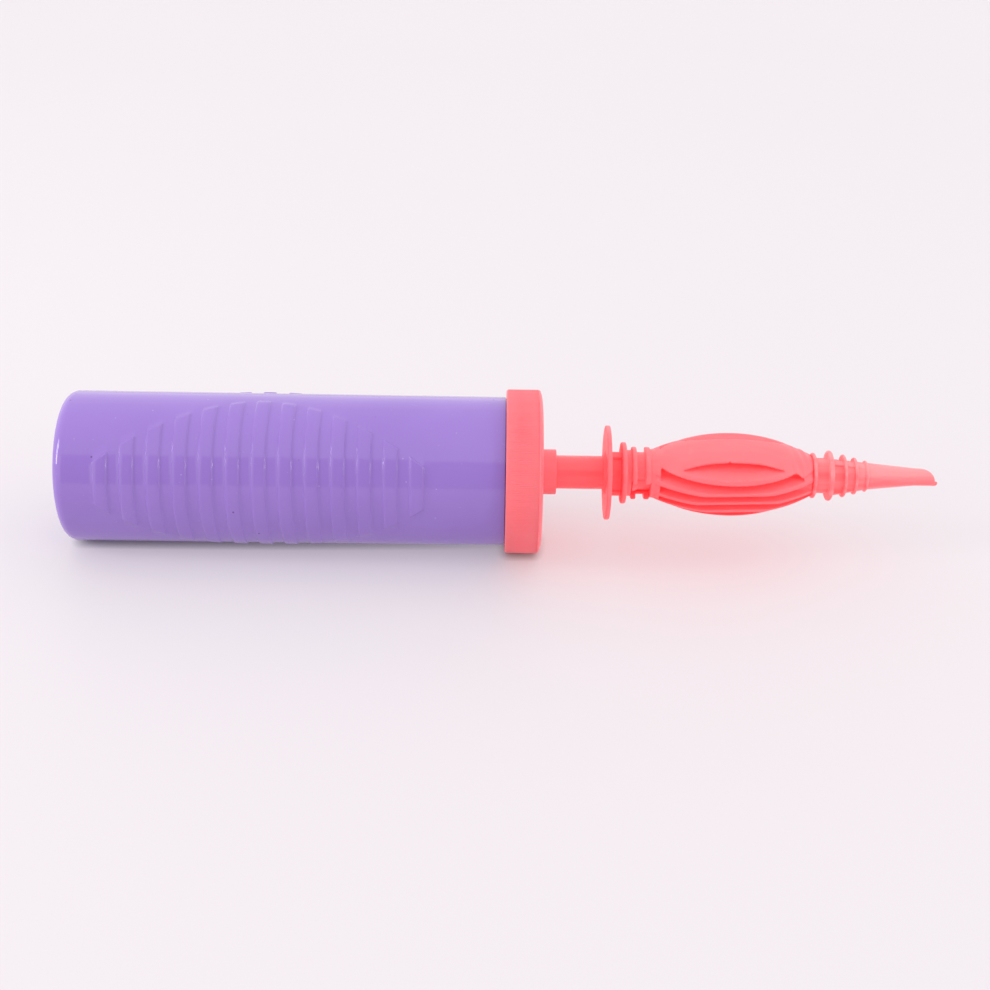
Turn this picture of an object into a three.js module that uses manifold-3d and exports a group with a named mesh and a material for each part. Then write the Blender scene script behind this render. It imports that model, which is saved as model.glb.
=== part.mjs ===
// A dual-action hand pump for balloons and light inflatable balls.
//
// The barrel is held in one hand and the handle in the other. The piston sits on the inner end of
// a hollow rod. Air leaves through the rod, the handle and the nozzle on both strokes: the push
// valve ring opens on the way in, the pull valve ring on the way out. Fresh air enters behind the
// piston through the valve in the barrel's base or the one in the cap.
//
// Millimetres. The pump's axis is +X and the origin is the centre of the base's outer face. The
// pump is pushed fully in. It lies on its side, so each moulding is turned about X by its own angle.

import * as THREE from 'three';
import { mergeVertices } from 'three/addons/utils/BufferGeometryUtils.js';
import Module from 'manifold-3d';

const wasm = await Module();
wasm.setup();

// ---------------------------------------------------------------- driving dimensions

// Gaps
const FIT = 0.05; // pressed or glued pieces of one rigid group
const SEAT = 0.15; // a valve ring and its seat
const RUNNING = 0.15; // a piece that slides or turns, on its radius

// Barrel
const BARREL_R = 25; // outside, at the base
const BARREL_MOUTH_R = 24.7; // outside, where the cap starts
const BORE_R = 23.2;
const BASE_CORNER_R = 3.8;
const BASE_WALL = 2;
const BARREL_SHOULDER_X = 145.1;
const BARREL_MOUTH_X = 154.65;
const NECK_R = 24.2;

// Screw thread between barrel and cap, right-handed, one start
const THREAD_PITCH = 3;
const BARREL_THREAD_TURNS = 1.6;
const CAP_THREAD_TURNS = 2.2;
const THREAD_HEIGHT = 0.9;
const THREAD_ROOT_WIDTH = 1.3;
const THREAD_CREST_WIDTH = 0.6;
const THREAD_START_X = 148;
const THREAD_SINK = 0.5; // how deep the ridge's root lies in the wall
const BLUNT_END = 0.5; // the ridge's height at its two ends, as a share of the full height

// Cap
const CAP_R = 27.25;
const CAP_OPEN_X = 145.4;
const CAP_FACE_X = 157.5;
const CAP_INNER_FACE_X = 155.6;
const CAP_CORNER = { x: 1.45, r: 6 }; // the rim falls away towards the face along part of an ellipse
const CAP_BORE_R = 25.5;
const COLLAR_R = 7.5;
const COLLAR_END_X = 162.2;
const SEAL_POCKET_R = 8.5;
const SEAL_POCKET_X = [153.4, 156.6];
const SEAL_BOSS_WALL = 1.1;

// Air holes: six on a circle
const BASE_PORTS = { circleR: 6, holeR: 1.3 };
const CAP_PORTS = { circleR: 13.5, holeR: 1 };
const CUP_PORTS = { circleR: 8.6, holeR: 1.6 };
const COVER_PORTS = { circleR: 13.5, holeR: 1.5 };
const PORT_COUNT = 6;

// Rod
const ROD_R = 5.57;
const ROD_BORE_R = 3.4;
const ROD_X = [13.6, 198];
const ROD_STOP_R = 8; // flange behind the piston: it meets the seal retainer when pulled out

// Piston
const PISTON_R = 22.7;
const PISTON_CUP_X = [6.2, 21];
const PISTON_WALL_R = 19.9;
const PISTON_FACE_WALL = 1.8;
const RING_GROOVE_X = [11.6, 15.2];
const RING_GROOVE_R = 21.2;
const COVER_FACE_X = 22.8;
const COVER_SEAT_X = 19.2;

// Handle
const SOCKET_R = ROD_R + FIT + 0.03;
const HANDLE_X = [177.8, 247];
const SPINDLE_R = 13.8;
const SPINDLE_MIDDLE_X = 220;
const SPINDLE_ARC_R = [60.7, 56]; // before and after the middle
const CORE_R = 6.4; // tube between the blades
const GROOVE_START_X = 196.4;
const BLADE_REACH = 12.2; // the blades stop here, short of the spindle's widest part
const BLADE_PITCH = 4.33;
const BLADE_THICKNESS = 1.3;
const LID_INNER_R = 12.3; // top of the hollow under the rounded lid, at the middle
const LID_INNER_ARC_R = 52.4;
const WINDOW_X = [187, 193.35];
const WINDOW_HALF_WIDTH = 3.85;

// Nozzle
const NOZZLE_SOCKET_R = 4.75;
const NOZZLE_SOCKET_X = 237;
const NOZZLE_NECK_R = 5.88;
const NOZZLE_NECK_END_X = 252.9;
const SPOUT_R = 2.9;
const SPOUT_BORE_R = 1.7;
const SPOUT_BORE_X = [255, 275]; // the bore narrows between these
const SPOUT_CONE_X = [254, 281.7];
const SPOUT_CONE_R = 5.63;
const SPOUT_END_X = 289.4;
const BEVEL = { x: 282.4, y: -2.95, r: 5.88 }; // the spout's end is rounded off about this centre
const LIP_R = 0.9; // a small bulge at the spout's longest point

// How far each moulding's front is turned up from the horizontal, in degrees
const HANDLE_FACES_UP = -26;
const NOZZLE_BEVEL_FACES_UP = 130;

const FINE = 32; // facets round the large pieces
const MEDIUM = 24;
const COARSE = 16;

// ---------------------------------------------------------------- shapes

// A geometry with shared vertices merged, as a solid that can be joined and cut.
function solid(geometry) {
  const bare = geometry.clone();
  bare.deleteAttribute('normal');
  bare.deleteAttribute('uv');
  const merged = mergeVertices(bare, 1e-4);
  return new wasm.Manifold(
    new wasm.Mesh({
      numProp: 3,
      vertProperties: merged.attributes.position.array,
      triVerts: new Uint32Array(merged.index.array),
    }),
  );
}

function geometryOf(made) {
  const mesh = made.getMesh();
  return new THREE.BufferGeometry()
    .setAttribute('position', new THREE.BufferAttribute(mesh.vertProperties, 3))
    .setIndex(new THREE.BufferAttribute(mesh.triVerts, 1));
}

// A closed outline of [x, radius] points, turned about X.
function turned(outline, facets = FINE) {
  const points = outline.map(([x, r]) => new THREE.Vector2(r, x));
  if (THREE.ShapeUtils.area(points) < 0) points.reverse();
  if (points[0].x > 0) points.push(points[0].clone());
  return solid(new THREE.LatheGeometry(points, facets).rotateZ(-Math.PI / 2));
}

// A ring, or a disc where the inner radius is 0.
function ring([x0, x1], inner, outer, facets = FINE) {
  return turned([[x0, inner], [x0, outer], [x1, outer], [x1, inner]], facets);
}

// A block between two corners.
function block([x0, x1], [y0, y1], [z0, z1]) {
  const box = new THREE.BoxGeometry(x1 - x0, y1 - y0, z1 - z0);
  return solid(box.translate((x0 + x1) / 2, (y0 + y1) / 2, (z0 + z1) / 2));
}

// A flat outline in x and z, pulled out along Y by the same amount to both sides.
function pulled(shape, reach, curveSegments = FINE) {
  const options = { depth: 2 * reach, bevelEnabled: false, curveSegments };
  const slab = new THREE.ExtrudeGeometry(shape, options);
  return solid(slab.rotateX(Math.PI / 2).translate(0, reach, 0));
}

// Holes along X, spaced evenly on a circle.
function portHoles([x0, x1], { circleR, holeR }) {
  const hole = ring([x0, x1], 0, holeR, 10);
  const holes = [];
  for (let i = 0; i < PORT_COUNT; i++) {
    const angle = (2 * Math.PI * i) / PORT_COUNT;
    holes.push(hole.translate([0, circleR * Math.cos(angle), circleR * Math.sin(angle)]));
  }
  return joined(holes);
}

function joined(solids) {
  return solids.reduce((sum, one) => sum.add(one));
}

// A screw thread's ridge about X. Its section is a trapezium from rootR to crestR, and it gets lower
// over its first and last eighth of a turn.
function threadRidge(startX, rootR, crestR, turns) {
  const steps = Math.round(turns * FINE);
  const fade = FINE / 8;
  const positions = [];
  const index = [];
  for (let i = 0; i <= steps; i++) {
    const turn = (i + 0.5) / FINE; // half a facet off the wall's own edges
    const angle = 2 * Math.PI * turn;
    const x = startX + THREAD_PITCH * turn;
    const share = Math.min(1, Math.min(i, steps - i) / fade);
    const top = rootR + (crestR - rootR) * Math.max(share, BLUNT_END);
    const section = [
      [-THREAD_ROOT_WIDTH / 2, rootR],
      [-THREAD_CREST_WIDTH / 2, top],
      [THREAD_CREST_WIDTH / 2, top],
      [THREAD_ROOT_WIDTH / 2, rootR],
    ];
    for (const [dx, r] of section) positions.push(x + dx, r * Math.cos(angle), r * Math.sin(angle));
  }
  for (let i = 0; i < steps; i++) {
    for (let k = 0; k < 4; k++) {
      const a = 4 * i + k;
      const b = 4 * i + ((k + 1) % 4);
      index.push(a, b, b + 4, a, b + 4, a + 4);
    }
  }
  const end = 4 * steps;
  index.push(0, 2, 1, 0, 3, 2, end, end + 1, end + 2, end, end + 2, end + 3);
  if (crestR > rootR) index.reverse();
  const geometry = new THREE.BufferGeometry();
  geometry.setAttribute('position', new THREE.Float32BufferAttribute(positions, 3));
  return solid(geometry.setIndex(index));
}

// Points on a quarter-round from one [x, radius] angle to another, about a centre.
function roundCorner([x, r], radius, fromDegrees, toDegrees, steps = 4) {
  const points = [];
  for (let i = 0; i <= steps; i++) {
    const angle = THREE.MathUtils.degToRad(fromDegrees + ((toDegrees - fromDegrees) * i) / steps);
    points.push([x + radius * Math.cos(angle), r + radius * Math.sin(angle)]);
  }
  return points;
}

// Drop of an arc below its crown, at a distance along X from it.
const arcDrop = (arcR, dx) => arcR - Math.sqrt(arcR * arcR - dx * dx);
function spindleRadius(x) {
  const arcR = SPINDLE_ARC_R[x < SPINDLE_MIDDLE_X ? 0 : 1];
  return SPINDLE_R - arcDrop(arcR, x - SPINDLE_MIDDLE_X);
}

// ---------------------------------------------------------------- materials

const plastic = (color, roughness) => new THREE.MeshStandardMaterial({ color, roughness, metalness: 0 });
const PURPLE = plastic(0x9c78d0, 0.28);
const CORAL = plastic(0xfb7480, 0.42);
const NATURAL = plastic(0xe9e4da, 0.5);
const RUBBER = plastic(0x2b2b2d, 0.8);

const pump = new THREE.Group();

function addPiece(name, made, material, facesUpDegrees = 0) {
  const mesh = new THREE.Mesh(geometryOf(made), material);
  mesh.name = name;
  mesh.rotation.x = -THREE.MathUtils.degToRad(facesUpDegrees);
  pump.add(mesh);
}

// ---------------------------------------------------------------- barrel and base valve

const BASE_POST_R = 2.2;
const BASE_POST_END_X = 4.2;
const RIVET_SHANK_R = 1;
const RIVET_HOLE_R = RIVET_SHANK_R + FIT;
const RIVET_HOLE_DEPTH = 1.8;
const BORE_CORNER = 1.5;

function makeBarrel() {
  const shell = turned([
    [0, 0],
    ...roundCorner([BASE_CORNER_R, BARREL_R - BASE_CORNER_R], BASE_CORNER_R, 180, 90),
    [BARREL_SHOULDER_X, BARREL_MOUTH_R],
    [BARREL_SHOULDER_X, NECK_R],
    [BARREL_MOUTH_X, NECK_R],
    [BARREL_MOUTH_X, BORE_R],
    [BASE_WALL + BORE_CORNER, BORE_R],
    [BASE_WALL, BORE_R - BORE_CORNER],
    [BASE_WALL, BASE_POST_R],
    [BASE_POST_END_X, BASE_POST_R],
    [BASE_POST_END_X, RIVET_HOLE_R],
    [BASE_POST_END_X - RIVET_HOLE_DEPTH, RIVET_HOLE_R],
    [BASE_POST_END_X - RIVET_HOLE_DEPTH, 0],
  ]);
  const rootR = NECK_R - THREAD_SINK;
  const thread = threadRidge(THREAD_START_X, rootR, NECK_R + THREAD_HEIGHT, BARREL_THREAD_TURNS);
  return shell.add(thread).subtract(portHoles([-1, BASE_WALL + 1], BASE_PORTS));
}

// A push-in rivet for a blind hole that opens at x: a shank and a wide flat head.
function rivet(x, headR, headThickness) {
  const tipX = x - RIVET_HOLE_DEPTH + 0.2;
  const headX = x + 0.1;
  return turned(
    [[tipX, 0], [tipX, RIVET_SHANK_R], [headX, RIVET_SHANK_R], [headX, headR],
      [headX + headThickness, headR], [headX + headThickness, 0]],
    COARSE,
  );
}

addPiece('barrel', makeBarrel(), PURPLE);
const baseValveX = BASE_WALL + SEAT;
addPiece('base_valve_ring', ring([baseValveX, baseValveX + 0.8], BASE_POST_R + 0.3, 9.5, COARSE), RUBBER);
addPiece('base_valve_rivet', rivet(BASE_POST_END_X, 5, 0.9), NATURAL);

// ---------------------------------------------------------------- cap, seals and cap valve

// From the cap's side round to its face.
function capCorner(steps = 4) {
  const points = [];
  for (let i = 0; i <= steps; i++) {
    const angle = (Math.PI / 2) * (1 - i / steps);
    const x = CAP_FACE_X - CAP_CORNER.x * (1 - Math.cos(angle));
    points.push([x, CAP_R - CAP_CORNER.r * (1 - Math.sin(angle))]);
  }
  return points;
}

function makeCap() {
  const body = turned([
    [CAP_OPEN_X, CAP_BORE_R],
    [CAP_OPEN_X, CAP_R],
    ...capCorner(),
    [CAP_FACE_X, COLLAR_R],
    [COLLAR_END_X, COLLAR_R],
    [COLLAR_END_X, ROD_R + RUNNING],
    [SEAL_POCKET_X[1], ROD_R + RUNNING],
    [SEAL_POCKET_X[1], SEAL_POCKET_R],
    [SEAL_POCKET_X[0], SEAL_POCKET_R],
    [SEAL_POCKET_X[0], SEAL_POCKET_R + SEAL_BOSS_WALL],
    [CAP_INNER_FACE_X, SEAL_POCKET_R + SEAL_BOSS_WALL],
    [CAP_INNER_FACE_X, CAP_BORE_R],
  ]);
  const threadX = THREAD_START_X + THREAD_PITCH / 2 - THREAD_PITCH;
  const thread = threadRidge(threadX, CAP_BORE_R + THREAD_SINK, CAP_BORE_R - THREAD_HEIGHT, CAP_THREAD_TURNS);
  const ports = portHoles([CAP_INNER_FACE_X - 1, CAP_FACE_X + 1], CAP_PORTS);
  return body.add(thread).subtract(ports);
}

// A rubber ring whose inner and outer lips are parted by a groove on the pressure side.
function makeRodSeal() {
  const [x0, x1] = [SEAL_POCKET_X[0] + 0.9, SEAL_POCKET_X[1] - 0.1];
  const innerR = ROD_R + 0.1;
  const outerR = SEAL_POCKET_R - 0.1;
  return turned(
    [[x0, innerR], [x0 + 1.3, innerR + 0.9], [x0, outerR - 0.8], [x0, outerR], [x1, outerR], [x1, innerR]],
    MEDIUM,
  );
}

function makeSealRetainer() {
  const flangeX = SEAL_POCKET_X[0] - 0.1;
  return turned(
    [[flangeX - 1, ROD_R + 0.4], [flangeX - 1, 12.5], [flangeX, 12.5], [flangeX, SEAL_POCKET_R - FIT],
      [flangeX + 0.9, SEAL_POCKET_R - FIT], [flangeX + 0.9, ROD_R + 0.4]],
    MEDIUM,
  );
}

const gasketX = [BARREL_MOUTH_X + 0.1, CAP_INNER_FACE_X - 0.15];
addPiece('cap_gasket', ring(gasketX, BORE_R + 0.1, CAP_BORE_R - 0.4), RUBBER);
addPiece('cap', makeCap(), CORAL);
addPiece('rod_seal', makeRodSeal(), RUBBER);
addPiece('seal_retainer', makeSealRetainer(), NATURAL);
addPiece('cap_valve_ring', ring([CAP_INNER_FACE_X - 0.95, CAP_INNER_FACE_X - SEAT], 9.9, 17, MEDIUM), RUBBER);

// ---------------------------------------------------------------- piston and its two valves

const PISTON_BOSS_R = 4;
const PISTON_BOSS_END_X = 10.4;
const COVER_BOSS_R = 9;
const COVER_SPIGOT_R = 7.5; // the keeper ring is pressed onto it
const KEEPER_X = [15.6, 16.65];
const LOCK_RING_X = [14.3, 15.3];
const LOCK_GROOVE_R = 4.8;

function makePistonCup() {
  const [x0, x1] = PISTON_CUP_X;
  const inner = x0 + PISTON_FACE_WALL;
  const cup = turned([
    [x0, 0],
    [x0, PISTON_R],
    [RING_GROOVE_X[0], PISTON_R],
    [RING_GROOVE_X[0], RING_GROOVE_R],
    [RING_GROOVE_X[1], RING_GROOVE_R],
    [RING_GROOVE_X[1], PISTON_R],
    [x1, PISTON_R],
    [x1, PISTON_WALL_R],
    [inner, PISTON_WALL_R],
    [inner, PISTON_BOSS_R],
    [PISTON_BOSS_END_X, PISTON_BOSS_R],
    [PISTON_BOSS_END_X, RIVET_HOLE_R],
    [PISTON_BOSS_END_X - RIVET_HOLE_DEPTH, RIVET_HOLE_R],
    [PISTON_BOSS_END_X - RIVET_HOLE_DEPTH, 0],
  ]);
  return cup.subtract(portHoles([x0 - 1, inner + 1], CUP_PORTS));
}

function makePistonCover() {
  const boreR = ROD_R + FIT;
  const cover = turned([
    [LOCK_RING_X[1] + 0.1, boreR],
    [LOCK_RING_X[1] + 0.1, COVER_SPIGOT_R],
    [KEEPER_X[1] + 0.1, COVER_SPIGOT_R],
    [KEEPER_X[1] + 0.1, COVER_BOSS_R],
    [COVER_SEAT_X, COVER_BOSS_R],
    [COVER_SEAT_X, PISTON_WALL_R - 0.2],
    [PISTON_CUP_X[1] + 0.1, PISTON_WALL_R - 0.2],
    [PISTON_CUP_X[1] + 0.1, PISTON_R],
    [COVER_FACE_X, PISTON_R],
    [COVER_FACE_X, boreR],
  ]);
  return cover.subtract(portHoles([COVER_SEAT_X - 1, COVER_FACE_X + 1], COVER_PORTS));
}

// An O-ring pressed into a groove: round on the outside, flattened on the groove's floor.
function makeORing([x0, x1], innerR, outerR, facets) {
  const half = (x1 - x0) / 2;
  const centre = [(x0 + x1) / 2, outerR - half];
  return turned([[x1 - 0.4, innerR], ...roundCorner(centre, half, 0, 180, 6), [x0 + 0.4, innerR]], facets);
}

// A flat retaining ring with a gap on one side, so that it springs over the rod.
function makeLockRing() {
  const whole = ring(LOCK_RING_X, LOCK_GROOVE_R + 3 * FIT, 8.8, COARSE);
  return whole.subtract(block([LOCK_RING_X[0] - 1, LOCK_RING_X[1] + 1], [-2.5, 2.5], [0, 12]));
}

addPiece('piston_cup', makePistonCup(), CORAL);
addPiece('piston_cover', makePistonCover(), CORAL);
const pistonRingX = [RING_GROOVE_X[0] + 0.3, RING_GROOVE_X[1] - 0.3];
addPiece('piston_o_ring', makeORing(pistonRingX, RING_GROOVE_R + 0.15, BORE_R - 0.2, FINE), RUBBER);
const pushValveX = PISTON_CUP_X[0] + PISTON_FACE_WALL + SEAT;
addPiece('push_valve_ring', ring([pushValveX, pushValveX + 0.9], PISTON_BOSS_R + 0.4, 12.5, COARSE), RUBBER);
addPiece('push_valve_rivet', rivet(PISTON_BOSS_END_X, 6.5, 1), NATURAL);
const pullValveX = COVER_SEAT_X - SEAT;
addPiece('pull_valve_ring', ring([pullValveX - 0.9, pullValveX], COVER_BOSS_R + 0.4, 17.8, MEDIUM), RUBBER);
addPiece('pull_valve_keeper', ring(KEEPER_X, COVER_SPIGOT_R + 0.25, 12, COARSE), NATURAL);
addPiece('rod_lock_ring', makeLockRing(), NATURAL);

// ---------------------------------------------------------------- rod

const ROD_STEP_X = 195.6;
const ROD_STEP_R = 4.4;

// The rod carries a stop flange behind the piston, and a snap tooth that springs into each of the
// handle's windows.
function makeRod() {
  const tube = turned(
    [
      [ROD_X[0], ROD_BORE_R],
      [ROD_X[0], ROD_R],
      [LOCK_RING_X[0] - 0.1, ROD_R],
      [LOCK_RING_X[0] - 0.1, LOCK_GROOVE_R],
      [LOCK_RING_X[1] + 0.1, LOCK_GROOVE_R],
      [LOCK_RING_X[1] + 0.1, ROD_R],
      [COVER_FACE_X + 0.1, ROD_R],
      [COVER_FACE_X + 0.1, ROD_STOP_R],
      [COVER_FACE_X + 1.6, ROD_STOP_R],
      [COVER_FACE_X + 2.6, ROD_R],
      [ROD_STEP_X, ROD_R],
      [ROD_STEP_X, ROD_STEP_R],
      [ROD_X[1], ROD_STEP_R],
      [ROD_X[1], ROD_BORE_R],
    ],
    MEDIUM,
  );
  const toothX = WINDOW_X[0] + 0.3;
  const toothRing = turned(
    [[toothX, ROD_R - 0.3], [toothX, ROD_R + 0.9], [toothX + 2.4, ROD_R], [toothX + 2.4, ROD_R - 0.3]],
    MEDIUM,
  );
  const toothWidth = block([toothX - 1, toothX + 4], [-12, 12], [-2.2, 2.2]);
  return tube.add(toothRing.intersect(toothWidth));
}

addPiece('rod', makeRod(), CORAL, HANDLE_FACES_UP);
const socketRingX = [ROD_STEP_X + 0.2, ROD_STEP_X + 1.8];
addPiece('socket_o_ring', makeORing(socketRingX, ROD_STEP_R + 0.1, SOCKET_R - 0.1, COARSE), RUBBER);

// ---------------------------------------------------------------- handle

const NECK_CORE_R = 6.95;
const NECK_RIB_R = 7.8;
const NECK_RIB_WIDTH = 3.2;
const NECK_RIB_FACES_UP = 78.5; // the first of three ribs

// Flange, disc, two rings and shoulder, then the spindle's long arc, then back along the bore.
function handleOutline() {
  const outline = [
    [HANDLE_X[0], SOCKET_R],
    [HANDLE_X[0], 6.8],
    [178.4, 7.2],
    [178.5, 15.4],
    [178.75, 15.7],
    [180.3, 15.7],
    [180.55, 15.4],
    [181.1, NECK_CORE_R],
    [183.6, NECK_CORE_R],
    [183.8, 10],
    [184, 10.27],
    [185.1, 10.27],
    [185.35, 10],
    [185.6, 7.67],
    [187.2, 7.67],
    [187.3, 8.55],
    [187.5, 8.75],
    [188.55, 8.75],
    [188.75, 8.55],
    [188.85, 7],
    [191.5, 7],
    [191.6, 8.55],
    [191.8, 8.75],
    [192.95, 8.75],
    [193.15, 8.55],
    [193.3, 8],
    [194.3, 8],
  ];
  const steps = 14;
  const startX = 194.6;
  for (let i = 0; i <= steps; i++) {
    const x = startX + ((HANDLE_X[1] - startX) * i) / steps;
    outline.push([x, spindleRadius(x)]);
  }
  outline.push(
    [HANDLE_X[1], NOZZLE_SOCKET_R],
    [NOZZLE_SOCKET_X, NOZZLE_SOCKET_R],
    [NOZZLE_SOCKET_X, ROD_BORE_R],
    [ROD_X[1] + 0.2, ROD_BORE_R],
    [ROD_X[1] + 0.2, SOCKET_R],
  );
  return outline;
}

// The gaps between the blades run right through, from front to back. The hollow under each lid is
// flat below and arched above, so it closes to a point at both ends.
function bladeGaps() {
  const x = [GROOVE_START_X, HANDLE_X[1] + 1];
  const across = [-20, 20];
  const gaps = [];
  const hollow = new THREE.Shape();
  const floor = 2 * BLADE_PITCH + BLADE_THICKNESS / 2;
  const steps = 12;
  const halfLength = Math.sqrt(LID_INNER_ARC_R ** 2 - (LID_INNER_ARC_R - LID_INNER_R + floor) ** 2);
  hollow.moveTo(SPINDLE_MIDDLE_X - halfLength, floor);
  for (let i = 1; i < steps; i++) {
    const dx = halfLength - (2 * halfLength * i) / steps;
    hollow.lineTo(SPINDLE_MIDDLE_X - dx, LID_INNER_R - arcDrop(LID_INNER_ARC_R, dx));
  }
  hollow.lineTo(SPINDLE_MIDDLE_X + halfLength, floor);
  hollow.closePath();
  for (const side of [1, -1]) {
    for (const gap of [0, 1]) {
      const middle = side * (gap + 0.5) * BLADE_PITCH;
      const half = (BLADE_PITCH - BLADE_THICKNESS) / 2;
      gaps.push(block(x, across, [middle - half, middle + half]));
    }
    gaps.push(pulled(hollow, 20).scale([1, 1, side]));
    gaps.push(block(x, side > 0 ? [BLADE_REACH, 20] : [-20, -BLADE_REACH], across));
  }
  return joined(gaps);
}

function neckRibs() {
  const shell = ring([180.6, 184], NECK_CORE_R - 0.3, NECK_RIB_R, MEDIUM);
  const ribs = [];
  for (let i = 0; i < 3; i++) {
    const bar = block([180, 185], [-10, 0], [-NECK_RIB_WIDTH / 2, NECK_RIB_WIDTH / 2]);
    ribs.push(bar.rotate([-(NECK_RIB_FACES_UP - HANDLE_FACES_UP) - 120 * i, 0, 0]));
  }
  return shell.intersect(joined(ribs));
}

function makeHandle() {
  const core = ring([GROOVE_START_X - 0.5, HANDLE_X[1]], CORE_R - 0.6, CORE_R, MEDIUM);
  const windowCut = block(WINDOW_X, [-12, 12], [-WINDOW_HALF_WIDTH, WINDOW_HALF_WIDTH]);
  const keptInside = ring([WINDOW_X[0] - 1, WINDOW_X[1] + 1], 0, SOCKET_R - 0.5, MEDIUM);
  const body = turned(handleOutline(), MEDIUM);
  return body.subtract(bladeGaps()).add(core).add(neckRibs()).subtract(windowCut.subtract(keptInside));
}

addPiece('handle', makeHandle(), CORAL, HANDLE_FACES_UP);

// ---------------------------------------------------------------- nozzle

const BEADS = [
  { x: 247.75, r: 7.6, half: 0.6 },
  { x: 253.1, r: 8.42, half: 0.7 },
  { x: 257.8, r: 7.14, half: 0.5 },
  { x: 261.55, r: 6.18, half: 0.5 },
  { x: 265.2, r: 5.2, half: 0.45 },
];
const GUSSET_X = [253.5, 266];
const GUSSET_R = [6.75, 4.45];
const GUSSET_WIDTH = 1.9;

const spoutRadius = (x) => THREE.MathUtils.mapLinear(x, ...SPOUT_CONE_X, SPOUT_CONE_R, SPOUT_R);

// The wall's radius between the beads: a straight neck, then the long cone.
function nozzleWallRadius(x) {
  if (x < NOZZLE_NECK_END_X) return NOZZLE_NECK_R;
  return Math.max(SPOUT_R, spoutRadius(x));
}

function nozzleOutline() {
  const outline = [
    [NOZZLE_SOCKET_X + 0.3, ROD_BORE_R - 0.2],
    [NOZZLE_SOCKET_X + 0.3, NOZZLE_SOCKET_R - FIT - 0.3],
    [NOZZLE_SOCKET_X + 0.8, NOZZLE_SOCKET_R - FIT],
    [HANDLE_X[1] + 0.1, NOZZLE_SOCKET_R - FIT],
  ];
  for (const { x, r, half } of BEADS) {
    const start = Math.max(x - half, HANDLE_X[1] + 0.1);
    outline.push([start, nozzleWallRadius(start)], [start + 0.1, r - half]);
    outline.push(...roundCorner([x, r - half], half, 135, 45, 2));
    outline.push([x + half - 0.1, r - half], [x + half, nozzleWallRadius(x + half)]);
  }
  outline.push(
    [SPOUT_CONE_X[1], SPOUT_R],
    [SPOUT_END_X, SPOUT_R],
    [SPOUT_END_X, SPOUT_BORE_R],
    [SPOUT_BORE_X[1], SPOUT_BORE_R],
    [SPOUT_BORE_X[0], ROD_BORE_R - 0.2],
  );
  return outline;
}

// Three tapering ribs brace the beads. The middle one is opposite the bevel.
function gussets() {
  const cone = turned(
    [[GUSSET_X[0], 4.3], [GUSSET_X[0], GUSSET_R[0]], [GUSSET_X[1], GUSSET_R[1]], [GUSSET_X[1], 3.5]],
    COARSE,
  );
  const bar = block(GUSSET_X, [-10, 0], [-GUSSET_WIDTH / 2, GUSSET_WIDTH / 2]);
  return cone.intersect(joined([60, 180, 300].map((degrees) => bar.rotate([degrees, 0, 0]))));
}

// Everything beyond the bevel's curve, built with the bevel facing -Y.
function bevelCut() {
  const outside = new THREE.Shape();
  outside.moveTo(BEVEL.x, BEVEL.y + BEVEL.r);
  outside.absarc(BEVEL.x, BEVEL.y, BEVEL.r, Math.PI / 2, -Math.PI / 2, true);
  outside.lineTo(BEVEL.x, -12);
  outside.lineTo(300, -12);
  outside.lineTo(300, 12);
  outside.lineTo(BEVEL.x, 12);
  outside.closePath();
  return pulled(outside, 12, 10).rotate([90, 0, 0]);
}

function makeNozzle() {
  const ball = new THREE.SphereGeometry(LIP_R, 12, 8);
  const lip = solid(ball.translate(SPOUT_END_X - LIP_R, SPOUT_R - LIP_R, 0));
  return turned(nozzleOutline(), COARSE).add(gussets()).subtract(bevelCut()).add(lip);
}

addPiece('nozzle', makeNozzle(), CORAL, NOZZLE_BEVEL_FACES_UP);

export default pump;
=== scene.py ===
"""A dual-action hand pump of glossy purple and satin coral plastic, lying on a pale table.

Lengths are in millimetres until a mesh is made. The pump's axis is +X and the origin is the centre
of the barrel's closed end. Turned pieces are grids of outline points by columns. The handle and the
nozzle are cut all over, so each is a distance field whose zero surface is meshed.
"""

import math

import bmesh
import bpy
import numpy as np
from mathutils import Matrix, Vector


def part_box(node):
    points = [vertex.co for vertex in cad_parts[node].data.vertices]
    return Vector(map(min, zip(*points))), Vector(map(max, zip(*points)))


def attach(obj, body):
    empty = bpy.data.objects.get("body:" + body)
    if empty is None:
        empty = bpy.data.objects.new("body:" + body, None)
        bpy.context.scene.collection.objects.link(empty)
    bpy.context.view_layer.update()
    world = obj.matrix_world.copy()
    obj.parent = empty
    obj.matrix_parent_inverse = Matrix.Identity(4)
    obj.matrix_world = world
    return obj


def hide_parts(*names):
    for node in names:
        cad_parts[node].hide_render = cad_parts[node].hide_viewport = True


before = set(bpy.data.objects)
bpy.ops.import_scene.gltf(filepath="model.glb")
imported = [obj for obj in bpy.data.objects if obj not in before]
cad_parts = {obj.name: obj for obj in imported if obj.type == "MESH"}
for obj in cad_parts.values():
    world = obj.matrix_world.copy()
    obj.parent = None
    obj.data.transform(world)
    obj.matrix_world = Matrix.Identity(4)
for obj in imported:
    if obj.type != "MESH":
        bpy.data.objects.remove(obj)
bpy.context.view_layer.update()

MM = 0.001


# ---------------------------------------------------------------- places taken from the frame


def span(node):
    """Where a node starts and ends along the pump's axis."""
    low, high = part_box(node)
    return low.x / MM, high.x / MM


BARREL_END = span("barrel")[1]
CAP_START, COLLAR_END = span("cap")
ROD_START, ROD_END = span("rod")
HANDLE_START, HANDLE_END = span("handle")
NOZZLE_START, NOZZLE_END = span("nozzle")
BARREL_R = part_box("barrel")[1].z / MM
CAP_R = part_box("cap")[1].z / MM

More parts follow.
